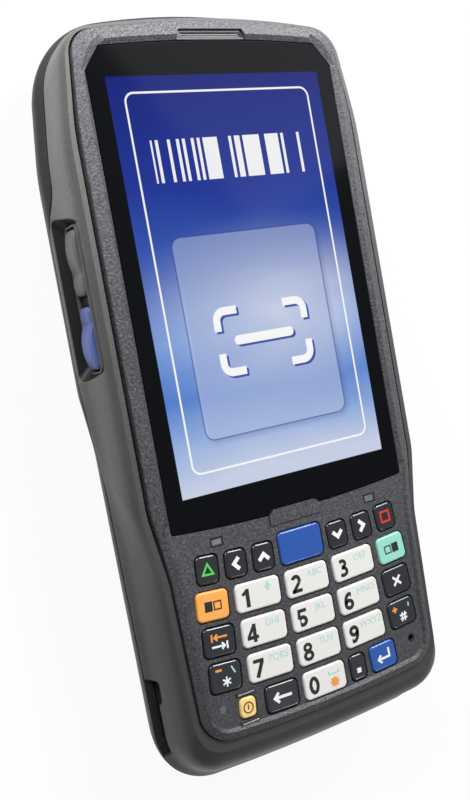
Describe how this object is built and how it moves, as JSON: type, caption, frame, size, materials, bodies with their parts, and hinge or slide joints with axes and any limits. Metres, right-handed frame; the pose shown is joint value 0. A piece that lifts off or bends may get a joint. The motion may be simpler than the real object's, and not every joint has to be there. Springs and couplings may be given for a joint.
{
  "type": "portable barcode data terminal",
  "caption": "Handheld data terminal: colour display over a numeric keypad, scan window in the top end, side scan buttons, removable battery in the back.",
  "frame": {"origin": "middle of the base, the device lying on its back", "axes": "+Z out of the display, +Y towards the earpiece end, +X to the right of a reader"},
  "size_m": [0.0784, 0.1645, 0.0272],
  "materials": {
    "bezel_plastic": "fine spark texture, semi matt",
    "band_plastic": "soft touch, fine grain",
    "cover_plastic": "fine grain",
    "display_glass": "glossy, black border",
    "panel": "lit picture",
    "black_rubber": "foam",
    "grey_silicone": "satin",
    "board_green": "solder resist",
    "bright_steel": "bright",
    "dark_steel": "black oxide",
    "cast_magnesium": "as cast",
    "black_nylon": "satin",
    "battery_plastic": "fine grain",
    "tinted_window": "dark red, glossy",
    "clear_lens": "glossy",
    "mesh_steel": "woven mesh",
    "white_key": "satin",
    "dark_key": "satin gloss",
    "blue_key": "satin gloss",
    "orange_key": "satin gloss",
    "mint_key": "satin gloss",
    "cream_key": "satin gloss",
    "grey_button": "satin",
    "blue_button": "satin"
  },
  "bodies": {
    "housing": {"front_bezel": "bezel_plastic", "mid_frame": "band_plastic", "rear_cover": "cover_plastic", "display_glass": "display_glass", "lcd_module": "panel", "display_gasket": "black_rubber", "display_cushion": "black_rubber", "keypad_mat": "grey_silicone", "keypad_board": "board_green", "main_board": "board_green", "key_domes": "bright_steel", "board_components": "bright_steel", "housing_screws": "dark_steel", "inner_chassis": "cast_magnesium", "side_switches": "bright_steel", "battery_contacts": "black_nylon", "dock_connector": "black_nylon", "scan_engine": "black_nylon", "scan_window": "tinted_window", "rear_camera": "black_nylon", "camera_window": "tinted_window", "flash_lens": "clear_lens", "status_lenses": "clear_lens", "earpiece_speaker": "black_nylon", "earpiece_mesh": "mesh_steel", "loudspeaker": "black_nylon", "microphone": "bright_steel", "vibration_motor": "bright_steel"},
    "battery_pack": {"battery_pack": "battery_plastic"},
    "volume_rocker": {"volume_rocker": "grey_button"},
    "camera_button": {"camera_button": "grey_button"},
    "left_scan_button": {"left_scan_button": "blue_button"},
    "right_scan_button": {"right_scan_button": "blue_button"},
    "scan_key": {"scan_key": "blue_key"},
    "triangle_key": {"triangle_key": "dark_key"},
    "left_key": {"left_key": "dark_key"},
    "up_key": {"up_key": "dark_key"},
    "down_key": {"down_key": "dark_key"},
    "right_key": {"right_key": "dark_key"},
    "square_key": {"square_key": "dark_key"},
    "orange_shift_key": {"orange_shift_key": "orange_key"},
    "digit_1_key": {"digit_1_key": "white_key"},
    "digit_2_key": {"digit_2_key": "white_key"},
    "digit_3_key": {"digit_3_key": "white_key"},
    "mint_shift_key": {"mint_shift_key": "mint_key"},
    "tab_key": {"tab_key": "dark_key"},
    "digit_4_key": {"digit_4_key": "white_key"},
    "digit_5_key": {"digit_5_key": "white_key"},
    "digit_6_key": {"digit_6_key": "white_key"},
    "escape_key": {"escape_key": "dark_key"},
    "minus_key": {"minus_key": "dark_key"},
    "digit_7_key": {"digit_7_key": "white_key"},
    "digit_8_key": {"digit_8_key": "white_key"},
    "digit_9_key": {"digit_9_key": "white_key"},
    "plus_key": {"plus_key": "dark_key"},
    "power_key": {"power_key": "cream_key"},
    "erase_key": {"erase_key": "dark_key"},
    "digit_0_key": {"digit_0_key": "white_key"},
    "point_key": {"point_key": "dark_key"},
    "enter_key": {"enter_key": "blue_key"}
  },
  "joints": [
    {"name": "battery_swing", "type": "hinge", "parent": "housing", "child": "battery_pack", "pos_m": [0, -0.056, 0.006], "axis": [-1, 0, 0], "range_deg": [0, 25]},
    {"name": "volume_rock", "type": "hinge", "parent": "housing", "child": "volume_rocker", "pos_m": [-0.0355, 0.03075, 0.02], "axis": [0, 0, 1], "range_deg": [-3, 3], "stiffness_Nm_per_rad": 0.15},
    {"name": "camera_press", "type": "slide", "parent": "housing", "child": "camera_button", "axis": [-1, 0, 0], "range_m": [0, 0.0007], "stiffness_N_per_m": 1200},
    {"name": "left_scan_press", "type": "slide", "parent": "housing", "child": "left_scan_button", "axis": [1, 0, 0], "range_m": [0, 0.0007], "stiffness_N_per_m": 1200},
    {"name": "right_scan_press", "type": "slide", "parent": "housing", "child": "right_scan_button", "axis": [-1, 0, 0], "range_m": [0, 0.0007], "stiffness_N_per_m": 1200},
    {"name": "front_scan_press", "type": "slide", "parent": "housing", "child": "scan_key", "axis": [0, 0, -1], "range_m": [0, 0.0007], "stiffness_N_per_m": 500},
    {"name": "triangle_press", "type": "slide", "parent": "housing", "child": "triangle_key", "axis": [0, 0, -1], "range_m": [0, 0.0007], "stiffness_N_per_m": 500},
    {"name": "left_press", "type": "slide", "parent": "housing", "child": "left_key", "axis": [0, 0, -1], "range_m": [0, 0.0007], "stiffness_N_per_m": 500},
    {"name": "up_press", "type": "slide", "parent": "housing", "child": "up_key", "axis": [0, 0, -1], "range_m": [0, 0.0007], "stiffness_N_per_m": 500},
    {"name": "down_press", "type": "slide", "parent": "housing", "child": "down_key", "axis": [0, 0, -1], "range_m": [0, 0.0007], "stiffness_N_per_m": 500},
    {"name": "right_press", "type": "slide", "parent": "housing", "child": "right_key", "axis": [0, 0, -1], "range_m": [0, 0.0007], "stiffness_N_per_m": 500},
    {"name": "square_press", "type": "slide", "parent": "housing", "child": "square_key", "axis": [0, 0, -1], "range_m": [0, 0.0007], "stiffness_N_per_m": 500},
    {"name": "orange_shift_press", "type": "slide", "parent": "housing", "child": "orange_shift_key", "axis": [0, 0, -1], "range_m": [0, 0.0007], "stiffness_N_per_m": 500},
    {"name": "digit_1_press", "type": "slide", "parent": "housing", "child": "digit_1_key", "axis": [0, 0, -1], "range_m": [0, 0.0007], "stiffness_N_per_m": 500},
    {"name": "digit_2_press", "type": "slide", "parent": "housing", "child": "digit_2_key", "axis": [0, 0, -1], "range_m": [0, 0.0007], "stiffness_N_per_m": 500},
    {"name": "digit_3_press", "type": "slide", "parent": "housing", "child": "digit_3_key", "axis": [0, 0, -1], "range_m": [0, 0.0007], "stiffness_N_per_m": 500},
    {"name": "mint_shift_press", "type": "slide", "parent": "housing", "child": "mint_shift_key", "axis": [0, 0, -1], "range_m": [0, 0.0007], "stiffness_N_per_m": 500},
    {"name": "tab_press", "type": "slide", "parent": "housing", "child": "tab_key", "axis": [0, 0, -1], "range_m": [0, 0.0007], "stiffness_N_per_m": 500},
    {"name": "digit_4_press", "type": "slide", "parent": "housing", "child": "digit_4_key", "axis": [0, 0, -1], "range_m": [0, 0.0007], "stiffness_N_per_m": 500},
    {"name": "digit_5_press", "type": "slide", "parent": "housing", "child": "digit_5_key", "axis": [0, 0, -1], "range_m": [0, 0.0007], "stiffness_N_per_m": 500},
    {"name": "digit_6_press", "type": "slide", "parent": "housing", "child": "digit_6_key", "axis": [0, 0, -1], "range_m": [0, 0.0007], "stiffness_N_per_m": 500},
    {"name": "escape_press", "type": "slide", "parent": "housing", "child": "escape_key", "axis": [0, 0, -1], "range_m": [0, 0.0007], "stiffness_N_per_m": 500},
    {"name": "minus_press", "type": "slide", "parent": "housing", "child": "minus_key", "axis": [0, 0, -1], "range_m": [0, 0.0007], "stiffness_N_per_m": 500},
    {"name": "digit_7_press", "type": "slide", "parent": "housing", "child": "digit_7_key", "axis": [0, 0, -1], "range_m": [0, 0.0007], "stiffness_N_per_m": 500},
    {"name": "digit_8_press", "type": "slide", "parent": "housing", "child": "digit_8_key", "axis": [0, 0, -1], "range_m": [0, 0.0007], "stiffness_N_per_m": 500},
    {"name": "digit_9_press", "type": "slide", "parent": "housing", "child": "digit_9_key", "axis": [0, 0, -1], "range_m": [0, 0.0007], "stiffness_N_per_m": 500},
    {"name": "plus_press", "type": "slide", "parent": "housing", "child": "plus_key", "axis": [0, 0, -1], "range_m": [0, 0.0007], "stiffness_N_per_m": 500},
    {"name": "power_press", "type": "slide", "parent": "housing", "child": "power_key", "axis": [0, 0, -1], "range_m": [0, 0.0007], "stiffness_N_per_m": 500},
    {"name": "erase_press", "type": "slide", "parent": "housing", "child": "erase_key", "axis": [0, 0, -1], "range_m": [0, 0.0007], "stiffness_N_per_m": 500},
    {"name": "digit_0_press", "type": "slide", "parent": "housing", "child": "digit_0_key", "axis": [0, 0, -1], "range_m": [0, 0.0007], "stiffness_N_per_m": 500},
    {"name": "point_press", "type": "slide", "parent": "housing", "child": "point_key", "axis": [0, 0, -1], "range_m": [0, 0.0007], "stiffness_N_per_m": 500},
    {"name": "enter_press", "type": "slide", "parent": "housing", "child": "enter_key", "axis": [0, 0, -1], "range_m": [0, 0.0007], "stiffness_N_per_m": 500}
  ]
}
